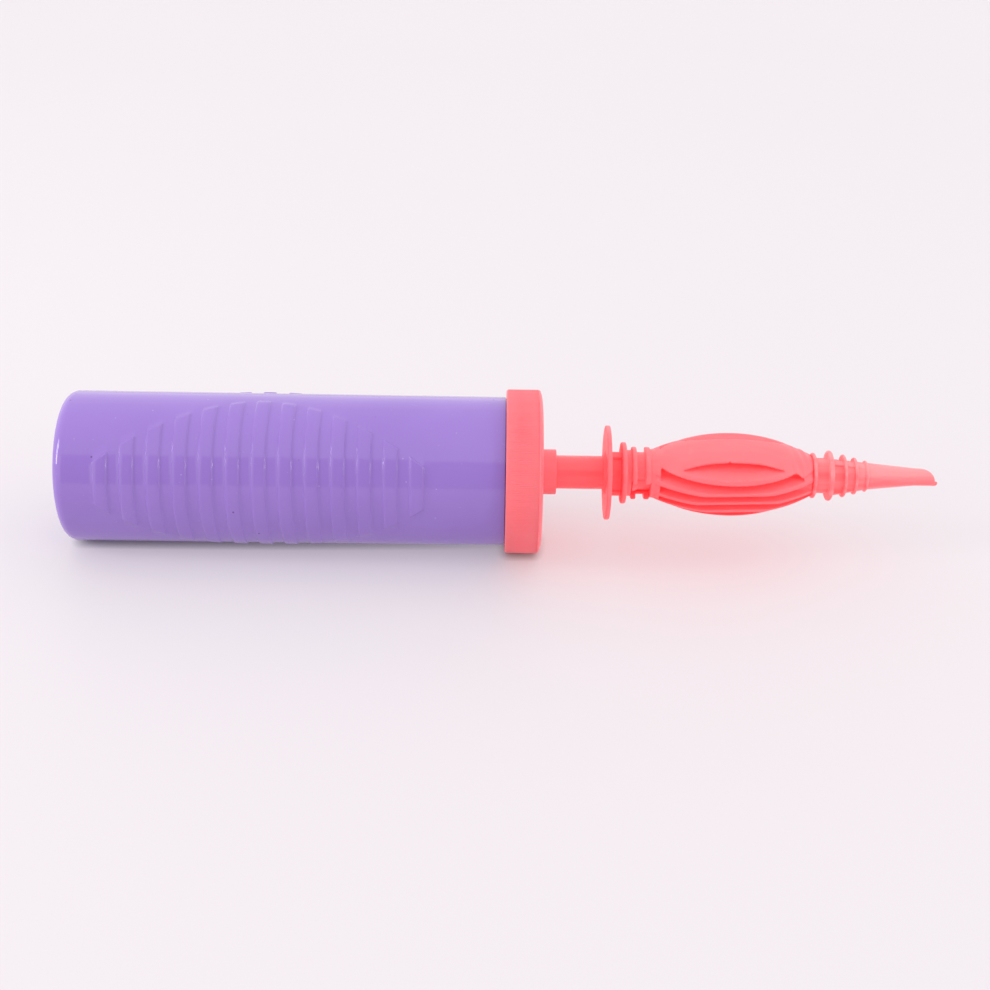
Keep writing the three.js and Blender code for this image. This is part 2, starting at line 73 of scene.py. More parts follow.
# Each moulding's front is turned up from the horizontal by its own angle, in degrees.
BARREL_FACES_UP = 13
HANDLE_FACES_UP = -26
BEVEL_FACES_UP = 130


# ---------------------------------------------------------------- arithmetic


def smooth_step(t):
    t = np.clip(t, 0, 1)
    return t * t * (3 - 2 * t)


def smooth_max(a, b, blend):
    """The larger of two fields, with the crease between them rounded."""
    h = np.maximum(blend - np.abs(a - b), 0) / blend
    return np.maximum(a, b) + h * h * blend / 4


def smooth_min(a, b, blend):
    return -smooth_max(-a, -b, blend)


def arc(centre, radius, start, stop, steps):
    """Points [x, r] along a round corner. Angles are in degrees from +X towards larger r."""
    angles = np.radians(np.linspace(start, stop, steps + 1))
    return [[centre[0] + radius * math.cos(a), centre[1] + radius * math.sin(a)] for a in angles]


def arc_drop(radius, distance):
    """How far an arc has fallen from its crown at a distance along X."""
    return radius - np.sqrt(np.maximum(radius**2 - distance**2, 0))


def turned_axes(y, z, faces_up):
    """Distances towards a moulding's front and towards its top."""
    a = math.radians(faces_up)
    return -y * math.cos(a) + z * math.sin(a), y * math.sin(a) + z * math.cos(a)


def evenly(start, stop, step):
    """Numbers from start to stop, both included, no further apart than a step."""
    count = max(1, math.ceil(abs(stop - start) / step - 1e-6))
    return np.linspace(start, stop, count + 1)


# ---------------------------------------------------------------- turned pieces


def full_turn(columns):
    return np.linspace(0, 2 * math.pi, columns, endpoint=False)


def turned_rings(outline, angles, raised=None):
    """Rings for an outline of [x, r] points. Angles are one row for all points, or a row for each."""
    outline = np.array(outline, float)
    angles = np.broadcast_to(angles, (len(outline), np.shape(angles)[-1]))
    x = np.broadcast_to(outline[:, :1], angles.shape)
    r = np.broadcast_to(outline[:, 1:], angles.shape)
    if raised is not None:
        r = r + raised(x, angles, r)
    return np.stack([x, -r * np.cos(angles), r * np.sin(angles)], axis=2)


def ring_faces(count, columns, closed):
    """Quads between neighbouring rings. A closed outline also joins its last ring to its first."""
    rows = np.arange(count if closed else count - 1)[:, None] * columns
    here = np.arange(columns)
    after = np.roll(here, -1)
    quads = np.stack([rows + here, rows + after, rows + after + columns, rows + here + columns], axis=2)
    return quads.reshape(-1, 4) % (count * columns)


def make_piece(name, points, faces):
    """A smooth-shaded object from points in millimetres and faces with equal numbers of sides."""
    mesh = bpy.data.meshes.new(name)
    mesh.vertices.add(len(points))
    mesh.vertices.foreach_set("co", (points * MM).astype(np.float32).ravel())
    mesh.loops.add(faces.size)
    mesh.loops.foreach_set("vertex_index", faces.astype(np.int32).ravel())
    mesh.polygons.add(len(faces))
    mesh.polygons.foreach_set("loop_start", np.arange(0, faces.size, faces.shape[1], dtype=np.int32))
    mesh.update(calc_edges=True)
    mesh.validate()
    mesh.shade_smooth()
    piece = bpy.data.objects.new(name, mesh)
    bpy.context.collection.objects.link(piece)
    return piece


def turned_piece(name, rings, closed):
    """An object from rings. Rings of no radius are drawn together into one point."""
    count, columns, _ = rings.shape
    piece = make_piece(name, rings.reshape(-1, 3), ring_faces(count, columns, closed))
    cleaned = bmesh.new()
    cleaned.from_mesh(piece.data)
    bmesh.ops.remove_doubles(cleaned, verts=cleaned.verts, dist=1e-7)
    bmesh.ops.recalc_face_normals(cleaned, faces=cleaned.faces)
    cleaned.to_mesh(piece.data)
    cleaned.free()
    return piece


def apply_modifier(piece, kind, **settings):
    modifier = piece.modifiers.new(kind, kind)
    for key, value in settings.items():
        setattr(modifier, key, value)
    with bpy.context.temp_override(object=piece, active_object=piece):
        bpy.ops.object.modifier_apply(modifier=modifier.name)


def cut_ports(piece, x_start, x_stop, circle_r, hole_r, count):
    """Cuts round holes along X, spaced evenly on a circle."""
    cutters = bmesh.new()
    middle = (x_start + x_stop) / 2
    for i in range(count):
        turn = 2 * math.pi * i / count
        place = Vector((middle, circle_r * math.cos(turn), circle_r * math.sin(turn))) * MM
        along_x = Matrix.Rotation(math.pi / 2, 4, "Y")
        bmesh.ops.create_cone(
            cutters, cap_ends=True, segments=32, radius1=hole_r * MM, radius2=hole_r * MM,
            depth=(x_stop - x_start) * MM, matrix=Matrix.Translation(place) @ along_x,
        )
    mesh = bpy.data.meshes.new("ports")
    cutters.to_mesh(mesh)
    cutters.free()
    cutter = bpy.data.objects.new("ports", mesh)
    bpy.context.collection.objects.link(cutter)
    apply_modifier(piece, "BOOLEAN", operation="DIFFERENCE", solver="EXACT", object=cutter)
    bpy.data.objects.remove(cutter)
    bpy.data.meshes.remove(mesh)


def shade(piece, crease_degrees):
    """Smooth shading that stays crisp across edges sharper than an angle."""
    piece.data.shade_smooth()
    piece.data.set_sharp_from_angle(angle=math.radians(crease_degrees))


THREAD_PITCH = 3
THREAD_HEIGHT = 0.9


def thread_height(x, angles, start, turns):
    """Height of a right-handed screw ridge at places along X and round it."""
    root_half, crest_half = 0.75, 0.3
    part_turn = ((angles - math.pi) / (2 * math.pi)) % 1
    highest = np.zeros_like(x)
    for whole in range(math.ceil(turns) + 1):
        turn = whole + part_turn
        off = np.abs(x - start - THREAD_PITCH * turn)
        flank = (root_half - off) / (root_half - crest_half)
        fade = np.clip(np.minimum(turn, turns - turn) * 8, 0, 1)
        highest = np.maximum(highest, THREAD_HEIGHT * smooth_step(flank) * fade)
    return highest


# ---------------------------------------------------------------- barrel

BORE_R = 23.2
BASE_CORNER_R = 3.8
BASE_WALL = 2
BASE_PORTS = {"circle_r": 6, "hole_r": 1.3, "count": 6}
RIVET_BOSS_X = 4.2  # the boss that holds the base valve's rivet, and the blind hole in it
RIVET_BOSS_R = 2.2
RIVET_HOLE_X = 2.4
RIVET_HOLE_R = 1.05
SHOULDER_X = 145.1
SHOULDER_R = 24.7
NECK_R = 24.2
BARREL_THREAD = {"start": 148, "turns": 1.6}

BAND_COUNT = 13
BAND_PITCH = 8.42
BAND_WIDTH = 4.3
BAND_HEIGHT = 0.45
BAND_RAMP = 0.55  # width of a band's sloping edge
PANEL_MIDDLE_X = 66.4
PANEL_HALF_LENGTH = 54
PANEL_HALF_WIDTH = 23.9
PANEL_ARC = 90


def panel_half_angle(x):
    """The bands stop at a lens of two arcs, seen from the panel's front. This is its half angle at x."""
    off_middle = np.minimum(np.abs(x - PANEL_MIDDLE_X), PANEL_HALF_LENGTH)
    return np.arcsin((PANEL_HALF_WIDTH - arc_drop(PANEL_ARC, off_middle)) / BARREL_R)


def band_middles():
    return PANEL_MIDDLE_X + BAND_PITCH * (np.arange(BAND_COUNT) - (BAND_COUNT - 1) / 2)


def band_height(x, angles, r):
    """Height of the grip bands. The front panel and its twin behind are the same."""
    off_front = np.radians(BARREL_FACES_UP)
    around = np.abs((angles - off_front + math.pi / 2) % math.pi - math.pi / 2)
    past_end = (around - panel_half_angle(x)) * BARREL_R
    nearest = np.min(np.abs(x[..., None] - band_middles()), axis=-1)
    edge = (BAND_WIDTH / 2 + BAND_RAMP / 2 - nearest) / BAND_RAMP
    end = 1 - past_end / BAND_RAMP
    on_side = (x > PANEL_MIDDLE_X - PANEL_HALF_LENGTH) & (x < PANEL_MIDDLE_X + PANEL_HALF_LENGTH)
    return np.where(on_side & (r > BORE_R + 1), BAND_HEIGHT * smooth_step(edge) * smooth_step(end), 0)


def barrel_columns(x):
    """Column angles at one place along the barrel. They close up along the ends of the bands."""
    half = float(panel_half_angle(x))
    ramp = BAND_RAMP / BARREL_R
    inside = np.linspace(0, half, 28)
    slope = np.linspace(half, half + ramp, 5)[1:]
    outside = np.linspace(half + ramp, math.pi / 2, 9)[1:]
    quarter = np.concatenate([inside, slope, outside])
    panel = np.concatenate([-quarter[:0:-1], quarter[:-1]])
    return np.radians(BARREL_FACES_UP) + np.concatenate([panel, panel + math.pi])


def barrel_side_stations():
    """Places along X where the side needs a ring: close together on the bands' sloping edges."""
    stations = [BASE_CORNER_R]
    for middle in band_middles():
        for edge in (middle - BAND_WIDTH / 2, middle + BAND_WIDTH / 2):
            stations.extend(evenly(stations[-1], edge - BAND_RAMP / 2, 1.4)[1:])
            stations.extend(np.linspace(edge - BAND_RAMP / 2, edge + BAND_RAMP / 2, 6)[1:])
    stations.extend(evenly(stations[-1], SHOULDER_X, 4)[1:])
    return stations


def barrel_outline():
    corner = (BASE_CORNER_R, BARREL_R - BASE_CORNER_R)
    outline = [[0, r] for r in (0, 4, 8, 14, 19)]
    outline += arc(corner, BASE_CORNER_R, 180, 90, 14)
    for x in barrel_side_stations()[1:]:
        share = (x - BASE_CORNER_R) / (SHOULDER_X - BASE_CORNER_R)
        outline.append([x, BARREL_R + (SHOULDER_R - BARREL_R) * share])
    outline += [[SHOULDER_X + 0.03, SHOULDER_R - 0.1], [SHOULDER_X + 0.05, NECK_R]]
    outline += [[x, NECK_R] for x in evenly(SHOULDER_X + 0.3, BARREL_END - 0.4, 0.25)]
    outline += arc((BARREL_END - 0.3, NECK_R - 0.3), 0.3, 90, 0, 3)
    outline += arc((BARREL_END - 0.3, BORE_R + 0.3), 0.3, 0, -90, 3)
    outline += [[x, BORE_R] for x in evenly(BARREL_END - 2, BASE_WALL + 1.5, 24)]
    outline += arc((BASE_WALL + 1.5, BORE_R - 1.5), 1.5, 90, 180, 4)
    outline += [[BASE_WALL, 12], [BASE_WALL, RIVET_BOSS_R + 0.1], [BASE_WALL + 0.1, RIVET_BOSS_R]]
    outline += [[RIVET_BOSS_X - 0.1, RIVET_BOSS_R], [RIVET_BOSS_X, RIVET_BOSS_R - 0.1]]
    outline += [[RIVET_BOSS_X, RIVET_HOLE_R], [RIVET_HOLE_X, RIVET_HOLE_R], [RIVET_HOLE_X, 0]]
    return outline


def barrel_relief(x, angles, r):
    on_neck = (x > SHOULDER_X) & (r > BORE_R + 0.7)
    thread = thread_height(x, angles, **BARREL_THREAD)
    return np.where(on_neck, thread, band_height(x, angles, r))


def make_barrel():
    outline = barrel_outline()
    angles = np.array([barrel_columns(min(max(x, 0), BARREL_END)) for x, r in outline])
    barrel = turned_piece("pump_barrel", turned_rings(outline, angles, barrel_relief), closed=False)
    cut_ports(barrel, -1, BASE_WALL + 1, **BASE_PORTS)
    shade(barrel, 40)
    return barrel


# ---------------------------------------------------------------- cap

CAP_BORE_R = 25.5
CAP_FACE_X = 157.5
CAP_INNER_FACE_X = 155.6
CAP_CORNER_X, CAP_CORNER_R = 1.45, 6  # the rim falls away towards the face along part of an ellipse
COLLAR_R = 7.5
ROD_R = 5.57
SEAL_X, SEAL_R = 156.6, 8.5  # the pocket for the rod seal, and the wider one for its retainer
RETAINER_X, RETAINER_R = 153.4, 9.6
CAP_PORTS = {"circle_r": 13.5, "hole_r": 1, "count": 6}
CAP_THREAD = {"start": 146.5, "turns": 2.2}
RIB_COUNT = 290
COLUMNS_PER_RIB = 4
RIB_HEIGHT = 0.2
RIBBED_X = (145.8, 155.95)
RIB_RAMP = 0.15


def cap_outline():
    rim_r, bore_edge = 0.35, 0.3
    ribbed_start, ribbed_end = RIBBED_X
    outer = CAP_R - RIB_HEIGHT
    outline = arc((CAP_START + rim_r, outer - rim_r), rim_r, 180, 90, 4)
    outline += [[ribbed_start, outer], [ribbed_start + RIB_RAMP, outer], [150, outer]]
    outline += [[ribbed_end - RIB_RAMP, outer], [ribbed_end, outer]]
    for angle in np.linspace(math.pi / 2, 0, 9):
        x = CAP_FACE_X - CAP_CORNER_X * (1 - math.cos(angle))
        outline.append([x, CAP_R - CAP_CORNER_R * (1 - math.sin(angle))])
    outline += [[CAP_FACE_X, 16], [CAP_FACE_X, 11]]
    outline += arc((CAP_FACE_X + 0.4, COLLAR_R + 0.4), 0.4, 180, 270, 3)
    outline += arc((COLLAR_END - 0.3, COLLAR_R - 0.3), 0.3, 90, 0, 3)
    outline += arc((COLLAR_END - 0.25, ROD_R + 0.4), 0.25, 0, -90, 2)
    outline += [[SEAL_X, ROD_R + 0.15], [SEAL_X, SEAL_R], [RETAINER_X, SEAL_R]]
    outline += [[RETAINER_X, RETAINER_R], [CAP_INNER_FACE_X, RETAINER_R]]
    outline += [[CAP_INNER_FACE_X, 17], [CAP_INNER_FACE_X, CAP_BORE_R]]
    outline += [[x, CAP_BORE_R] for x in evenly(CAP_INNER_FACE_X - 0.3, CAP_START + 0.5, 0.32)]
    outline += [[CAP_START + bore_edge, CAP_BORE_R], [CAP_START, CAP_BORE_R + bore_edge]]
    return outline


def cap_relief(x, angles, r):
    """Fine axial ribs outside, a screw thread inside."""
    ribbed_start, ribbed_end = RIBBED_X
    along = np.minimum(x - ribbed_start, ribbed_end - x) / RIB_RAMP
    wave = 0.5 + 0.5 * np.cos(RIB_COUNT * angles)
    ribs = np.where(r > CAP_BORE_R + 1, RIB_HEIGHT * smooth_step(along) * wave, 0)
    inside = (r < CAP_BORE_R + 0.1) & (r > CAP_BORE_R - 0.1) & (x < CAP_INNER_FACE_X - 0.2)
    thread = thread_height(x, angles, **CAP_THREAD)
    return np.where(inside, -thread, ribs)


def make_cap():
    rings = turned_rings(cap_outline(), full_turn(RIB_COUNT * COLUMNS_PER_RIB), cap_relief)
    cap = turned_piece("screw_cap", rings, closed=True)
    cut_ports(cap, CAP_INNER_FACE_X - 1, CAP_FACE_X + 1, **CAP_PORTS)
    shade(cap, 50)
    return cap


# ---------------------------------------------------------------- rod

ROD_BORE_R = 3.4
LOCK_GROOVE_X, LOCK_GROOVE_R = (14.2, 15.4), 4.8
STOP_FLANGE_X, STOP_FLANGE_R = (22.9, 24.5), 8
TIP_X, TIP_R = 195.6, 4.4  # the rod's narrower end, past the ring that seals it in the handle
TOOTH_X = (187.3, 189.7)
TOOTH_HEIGHT = 0.9
TOOTH_HALF_WIDTH = 2.2


def rod_outline():
    outline = [[ROD_START + 0.2, ROD_BORE_R], [ROD_START, ROD_BORE_R + 0.2], [ROD_START, ROD_R - 0.2]]
    outline += [[ROD_START + 0.2, ROD_R], [LOCK_GROOVE_X[0], ROD_R], [LOCK_GROOVE_X[0], LOCK_GROOVE_R]]
    outline += [[LOCK_GROOVE_X[1], LOCK_GROOVE_R], [LOCK_GROOVE_X[1], ROD_R]]
    flange_start, flange_end = STOP_FLANGE_X
    outline += [[flange_start, ROD_R], [flange_start, STOP_FLANGE_R - 0.2]]
    outline += [[flange_start + 0.2, STOP_FLANGE_R], [flange_end - 0.2, STOP_FLANGE_R]]
    outline += [[flange_end, STOP_FLANGE_R - 0.1], [flange_end + 0.9, ROD_R]]
    outline += [[x, ROD_R] for x in evenly(26, TOOTH_X[0] - 0.4, 20)]
    outline += [[x, ROD_R] for x in evenly(TOOTH_X[0] - 0.05, TOOTH_X[1] + 0.3, 0.2)]
    outline += [[TIP_X - 0.2, ROD_R], [TIP_X, ROD_R - 0.2], [TIP_X, TIP_R], [ROD_END - 0.2, TIP_R]]
    outline += [[ROD_END, TIP_R - 0.2], [ROD_END, ROD_BORE_R + 0.2], [ROD_END - 0.2, ROD_BORE_R]]
    return outline


def snap_teeth(x, angles, r):
    """A wedge on the front and the back that springs into the handle's windows."""
    from_front = np.sin(angles - math.radians(HANDLE_FACES_UP)) * ROD_R
    rise = np.clip((x - TOOTH_X[0] + 0.1) / 0.2, 0, 1) * np.clip((TOOTH_X[1] - x) / 2.2, 0, 1)
    sides = smooth_step((TOOTH_HALF_WIDTH - np.abs(from_front)) / 0.4 + 0.5)
    return np.where(r > ROD_R - 0.1, TOOTH_HEIGHT * rise * sides, 0)


def make_rod():
    rod = turned_piece("hollow_rod", turned_rings(rod_outline(), full_turn(160), snap_teeth), closed=True)
    shade(rod, 40)
    return rod


# ---------------------------------------------------------------- distance fields


def outline_field(outline, x_range, r_stop, cell=0.1, blur=2):
    """The distance to a closed outline of [x, r] points, as a quick function of x and r."""
    xs = np.arange(x_range[0], x_range[1] + cell, cell)
    rs = np.arange(0, r_stop + cell, cell)
    px, pr = np.meshgrid(xs, rs, indexing="ij")
    nearest = np.full(px.shape, np.inf)
    inside = np.zeros(px.shape, bool)
    for (ax, ar), (bx, br) in zip(outline, outline[1:] + outline[:1]):
        ex, er = bx - ax, br - ar
        length = max(ex * ex + er * er, 1e-12)
        t = np.clip(((px - ax) * ex + (pr - ar) * er) / length, 0, 1)
        nearest = np.minimum(nearest, np.hypot(px - ax - t * ex, pr - ar - t * er))
        if abs(er) > 1e-9:
            spans = (ar <= pr) != (br <= pr)
            inside ^= spans & (px < ax + ex * (pr - ar) / er)
    table = np.where(inside, -nearest, nearest)
    for _ in range(blur):
        padded = np.pad(table, 1, mode="reflect", reflect_type="odd")
        table = (padded[:-2, 1:-1] + padded[2:, 1:-1] + padded[1:-1, :-2] + padded[1:-1, 2:]) / 8 + table / 2

    def field(x, r):
        i = np.clip((x - xs[0]) / cell, 0, len(xs) - 1.001)
        j = np.clip(r / cell, 0, len(rs) - 1.001)
        i0, j0 = i.astype(int), j.astype(int)
        u, v = i - i0, j - j0
        low = table[i0, j0] * (1 - v) + table[i0, j0 + 1] * v
        high = table[i0 + 1, j0] * (1 - v) + table[i0 + 1, j0 + 1] * v
        return low * (1 - u) + high * u

    return field


def draw_onto(field, points, cell):
    """Moves points onto the field's zero surface."""
    step = 0.02
    for _ in range(4):
        value = field(*points.T)
        slope = np.empty_like(points)
        for axis in range(3):
            shift = np.zeros(3)
            shift[axis] = step
            slope[:, axis] = (field(*(points + shift).T) - field(*(points - shift).T)) / (2 * step)
        move = (value / np.maximum((slope**2).sum(1), 0.05))[:, None] * slope
        length = np.linalg.norm(move, axis=1, keepdims=True)
        points = points - move * np.minimum(1, 0.3 * cell / np.maximum(length, 1e-9))
    return points


def field_mesh(field, low, high, cell):
    """Points and quads over a field's zero surface: a point in each crossed cell of a grid."""
    low = np.array(low, float)
    axes = [np.arange(low[i], high[i] + cell, cell) for i in range(3)]
    value = field(*np.meshgrid(*axes, indexing="ij"))
    inside = value < 0
    cells = np.array(value.shape) - 1
    crossings, owners, quads = [], [], []
    for axis in range(3):
        near = [slice(None)] * 3
        far = [slice(None)] * 3
        near[axis] = slice(0, -1)
        far[axis] = slice(1, None)
        index = np.argwhere(inside[tuple(near)] != inside[tuple(far)])
        beyond = index.copy()
        beyond[:, axis] += 1
        a = value[tuple(index.T)]
        b = value[tuple(beyond.T)]
        place = low + cell * index
        place[:, axis] += cell * a / (a - b)
        u, v = (axis + 1) % 3, (axis + 2) % 3
        around = []
        for du, dv in ((-1, -1), (0, -1), (0, 0), (-1, 0)):
            owner = index.copy()
            owner[:, u] += du
            owner[:, v] += dv
            around.append((owner[:, 0] * cells[1] + owner[:, 1]) * cells[2] + owner[:, 2])
            crossings.append(place)
            owners.append(around[-1])
        quad = np.stack(around, axis=1)
        quad[a > 0] = quad[a > 0, ::-1]
        quads.append(quad)
    crossings = np.concatenate(crossings)
    used, number = np.unique(np.concatenate(owners), return_inverse=True)
    count = np.bincount(number)
    points = np.stack([np.bincount(number, weights=crossings[:, i]) / count for i in range(3)], axis=1)
    return draw_onto(field, points, cell), np.searchsorted(used, np.concatenate(quads))


def thin_out(piece, most_triangles):
    """Merges the smallest triangles until a piece has no more than a number of them."""
    triangles = sum(len(p.vertices) - 2 for p in piece.data.polygons)
    if triangles > most_triangles:
        apply_modifier(piece, "DECIMATE", ratio=most_triangles / triangles)


# ---------------------------------------------------------------- handle

SOCKET_R = 5.65
SOCKET_END_X = 198.2
PLUG_START_X, PLUG_R = 237, 4.75  # the hole for the nozzle's shank
FLANGE_EDGE_X, FLANGE_EDGE_R, FLANGE_ROUND_R = (178.75, 179.7), 15.4, 0.3
FLANGE_FOOT_X = 180.4
DISC = {"start": 183.7, "stop": 185.4, "r": 10.27, "edge": 0.5}
FIRST_RING = {"start": 187.2, "stop": 188.8, "r": 8.75, "edge": 0.4}
SECOND_RING = {"start": 191.5, "stop": 193.25, "r": 8.75, "edge": 0.4}
SPINDLE_R = 13.8
SPINDLE_MIDDLE_X = 220
SPINDLE_ARC_LEFT, SPINDLE_ARC_RIGHT = 60.7, 56
SPINDLE_START_X = 194.6
CORE_R = 6.4
GROOVE_START_X = 196.4
GROOVE_BLEND = 0.3
BLADE_PITCH = 4.33
BLADE_THICKNESS = 1.3
BLADE_REACH = 12.2
BLADE_TILT = 0.034  # the blades' straight edges draw in by this much for each millimetre along X
OUTER_GROOVE_END_X = 244.7
SHALLOW = 0.4
SHALLOW_REACH = 6.2
LID_FLOOR = 2 * BLADE_PITCH + BLADE_THICKNESS / 2
LID_INNER_R = 12.3
LID_INNER_ARC = 52.4
LID_BLEND = 0.7
LID_EDGE = 0.6
NOTCH_X, NOTCH_DEPTH, NOTCH_HALF_WIDTH = 218.4, 0.5, 1.1
WRINKLED_X = (238.5, 246)
WRINKLE_HEIGHT = 0.13
WINDOW_X = (187, 193.35)
WINDOW_HALF_WIDTH = 3.85
NECK_CORE_R = 6.95
NECK_RIB_R = 7.8
NECK_RIB_WIDTH = 3.2
NECK_RIB_X = (180.2, 184)
NECK_RIB_FACES_UP = 78.5
HANDLE_CELL, HANDLE_TRIANGLES = 0.32, 185000


def spindle_radius(x):
    left = arc_drop(SPINDLE_ARC_LEFT, x - SPINDLE_MIDDLE_X)
    right = arc_drop(SPINDLE_ARC_RIGHT, x - SPINDLE_MIDDLE_X)
    return SPINDLE_R - np.where(x < SPINDLE_MIDDLE_X, left, right)


def rounded_disc(start, stop, r, edge, foot):
    """Outline points of a disc with a rounded rim, from its foot on the left to its foot on the right."""
    rim = arc((start + edge, r - edge), edge, 180, 90, 3) + arc((stop - edge, r - edge), edge, 90, 0, 3)
    return [[start, foot]] + rim + [[stop, foot]]


def handle_outline():
    """Flange, disc, two rings and shoulder, then the spindle's long arc, then back along the bore."""
    outline = [[HANDLE_START, SOCKET_R], [HANDLE_START, 7.1], [HANDLE_START + 0.15, 7.25], [178.4, 7.3]]
    outline += [[178.45, 15.2]]
    for x, start, stop in zip(FLANGE_EDGE_X, (170, 90), (90, 10)):
        outline += arc((x, FLANGE_EDGE_R), FLANGE_ROUND_R, start, stop, 3)
    outline += [[FLANGE_FOOT_X, NECK_CORE_R]]
    outline += rounded_disc(**DISC, foot=NECK_CORE_R)[:-1]
    outline += [[185.6, 7.67]]
    outline += rounded_disc(**FIRST_RING, foot=7.67)[:-1]
    outline += [[188.85, 7]]
    outline += rounded_disc(**SECOND_RING, foot=7)[:-1]
    outline += [[193.3, 8]]
    outline += [[x, float(spindle_radius(x))] for x in evenly(SPINDLE_START_X, HANDLE_END, 1.5)]
    outline += [[HANDLE_END, PLUG_R], [PLUG_START_X, PLUG_R], [PLUG_START_X, ROD_BORE_R]]
    outline += [[SOCKET_END_X, ROD_BORE_R], [SOCKET_END_X, SOCKET_R]]
    return outline


def make_handle_field():
    body = outline_field(handle_outline(), (HANDLE_START - 2, HANDLE_END + 2), 19)

    def blade_gaps(x, front, top):
        """Positive in the blades, negative in the gaps that run through between them."""
        level = np.abs(top)
        gap_half = (BLADE_PITCH - BLADE_THICKNESS) / 2
        inner = np.abs(level - BLADE_PITCH / 2) - gap_half
        outer = np.abs(level - 1.5 * BLADE_PITCH) - gap_half
        r = np.hypot(front, top)
        skin = spindle_radius(x) - SHALLOW - r
        shallow = np.maximum(skin, SPINDLE_START_X + 0.3 - x)
        inner_deep = smooth_max(inner, GROOVE_START_X - x, GROOVE_BLEND)
        inner_shallow = smooth_max(inner, shallow, GROOVE_BLEND)
        outer_end = OUTER_GROOVE_END_X - (level - BLADE_PITCH)
        ends = smooth_max(GROOVE_START_X - x, x - outer_end, 0.1)
        outer_deep = smooth_max(outer, ends, 2 * GROOVE_BLEND)
        outer_shallow = smooth_max(np.maximum(outer, level - SHALLOW_REACH), shallow, GROOVE_BLEND)
        inner = np.minimum(inner_deep, inner_shallow)
        outer = np.minimum(outer_deep, outer_shallow)
        return np.minimum(np.minimum(inner, outer), lid_hollow(x, front, level))

    def lid_hollow(x, front, level):
        """Negative under a lid: flat below, arched above. The lid's thin edges are blunted."""
        ceiling = LID_INNER_R - arc_drop(LID_INNER_ARC, x - SPINDLE_MIDDLE_X)
        notch = NOTCH_DEPTH * np.maximum(1 - np.abs(x - NOTCH_X) / NOTCH_HALF_WIDTH, 0)
        hollow = smooth_max(LID_FLOOR - level, level - ceiling - notch, LID_BLEND)
        blunt = LID_EDGE * smooth_step((ceiling - LID_FLOOR) / 2.4)
        edge_top = np.maximum(ceiling, LID_FLOOR) + blunt
        edge_front = np.sqrt(np.maximum(spindle_radius(x) ** 2 - edge_top**2, 0))
        past_edge = np.maximum(LID_FLOOR - level, edge_front - np.abs(front))
        return np.minimum(hollow, np.where(blunt > 0, past_edge, 1.0))

    def blade_ends(x, front):
        """Negative beyond the straight part of the blades' outer edges."""
        reach = BLADE_REACH - BLADE_TILT * (x - SPINDLE_MIDDLE_X)
        return np.maximum(reach - np.abs(front), GROOVE_START_X - x)

    def neck_ribs(x, r, y, z):
        ribs = np.full(x.shape, np.inf)
        for i in range(3):
            out, side = turned_axes(y, z, NECK_RIB_FACES_UP + 120 * i)
            ribs = np.minimum(ribs, np.maximum(np.abs(side) - NECK_RIB_WIDTH / 2, -out))
        walls = np.maximum(np.maximum(NECK_RIB_X[0] - x, x - NECK_RIB_X[1]), r - NECK_RIB_R)
        return np.maximum(ribs, np.maximum(walls, NECK_CORE_R - 0.5 - r))

    def mould_wrinkles(x, front, top, r):
        """Low wrinkles at the lid's right-hand end, where the mould filled last."""
        along = smooth_step((x - WRINKLED_X[0]) / 2.5) * smooth_step((WRINKLED_X[1] - x) / 1.5)
        around = smooth_step((top / np.maximum(r, 1) - 0.55) / 0.25)
        return WRINKLE_HEIGHT * along * around * np.sin(1.9 * x - 0.7 * front)

    def field(x, y, z):
        front, top = turned_axes(y, z, HANDLE_FACES_UP)
        r = np.hypot(y, z)
        solid = body(x, r) - mould_wrinkles(x, front, top, r)
        solid = smooth_max(solid, -blade_gaps(x, front, top), GROOVE_BLEND)
        solid = smooth_max(solid, -blade_ends(x, front), GROOVE_BLEND)
        core_bore = np.where(x > PLUG_START_X, PLUG_R, np.where(x > SOCKET_END_X, ROD_BORE_R, SOCKET_R))
        core_ends = np.maximum(GROOVE_START_X - 0.5 - x, x - HANDLE_END)
        core = np.maximum(np.maximum(r - CORE_R, core_bore - r), core_ends)
        solid = smooth_min(solid, core, GROOVE_BLEND)
        solid = smooth_min(solid, neck_ribs(x, r, y, z), GROOVE_BLEND)
        window_ends = np.maximum(WINDOW_X[0] - x, x - WINDOW_X[1])
        window = np.maximum(window_ends, np.abs(top) - WINDOW_HALF_WIDTH)
        return smooth_max(solid, -np.maximum(window, SOCKET_R - 0.5 - r), GROOVE_BLEND)

    return field


def make_handle():
    reach = 16.6  # a little beyond the flange
    low = (HANDLE_START - 0.7, -reach, -reach)
    high = (HANDLE_END + 0.7, reach, reach)
    handle = make_piece("spindle_handle", *field_mesh(make_handle_field(), low, high, HANDLE_CELL))
    thin_out(handle, HANDLE_TRIANGLES)
    return handle


# ---------------------------------------------------------------- nozzle

SHANK_R, SHANK_END_X = 4.7, 250
ROOT_R, ROOT_END_X = 5.88, 252.9
SPOUT_R = 2.9
CONE_X = (254, 281.7)
CONE_R = 5.63
BEADS = (  # each one's middle along X, its outer radius and half its thickness
    (247.75, 7.6, 0.6), (253.1, 8.42, 0.7), (257.8, 7.14, 0.5), (261.55, 6.18, 0.5), (265.2, 5.2, 0.45),
)
GUSSET_X = (253.5, 266)
GUSSET_R = (6.75, 4.45)
GUSSET_WIDTH = 1.9
BEVEL_X, BEVEL_FRONT, BEVEL_R = 282.4, -2.95, 5.88
LIP_R, LIP_FRONT = 0.9, -2.05
NOZZLE_BORE_X, NOZZLE_BORE_R = (255, 275), (3.2, 1.7)
NOZZLE_CELL, NOZZLE_TRIANGLES = 0.22, 150000


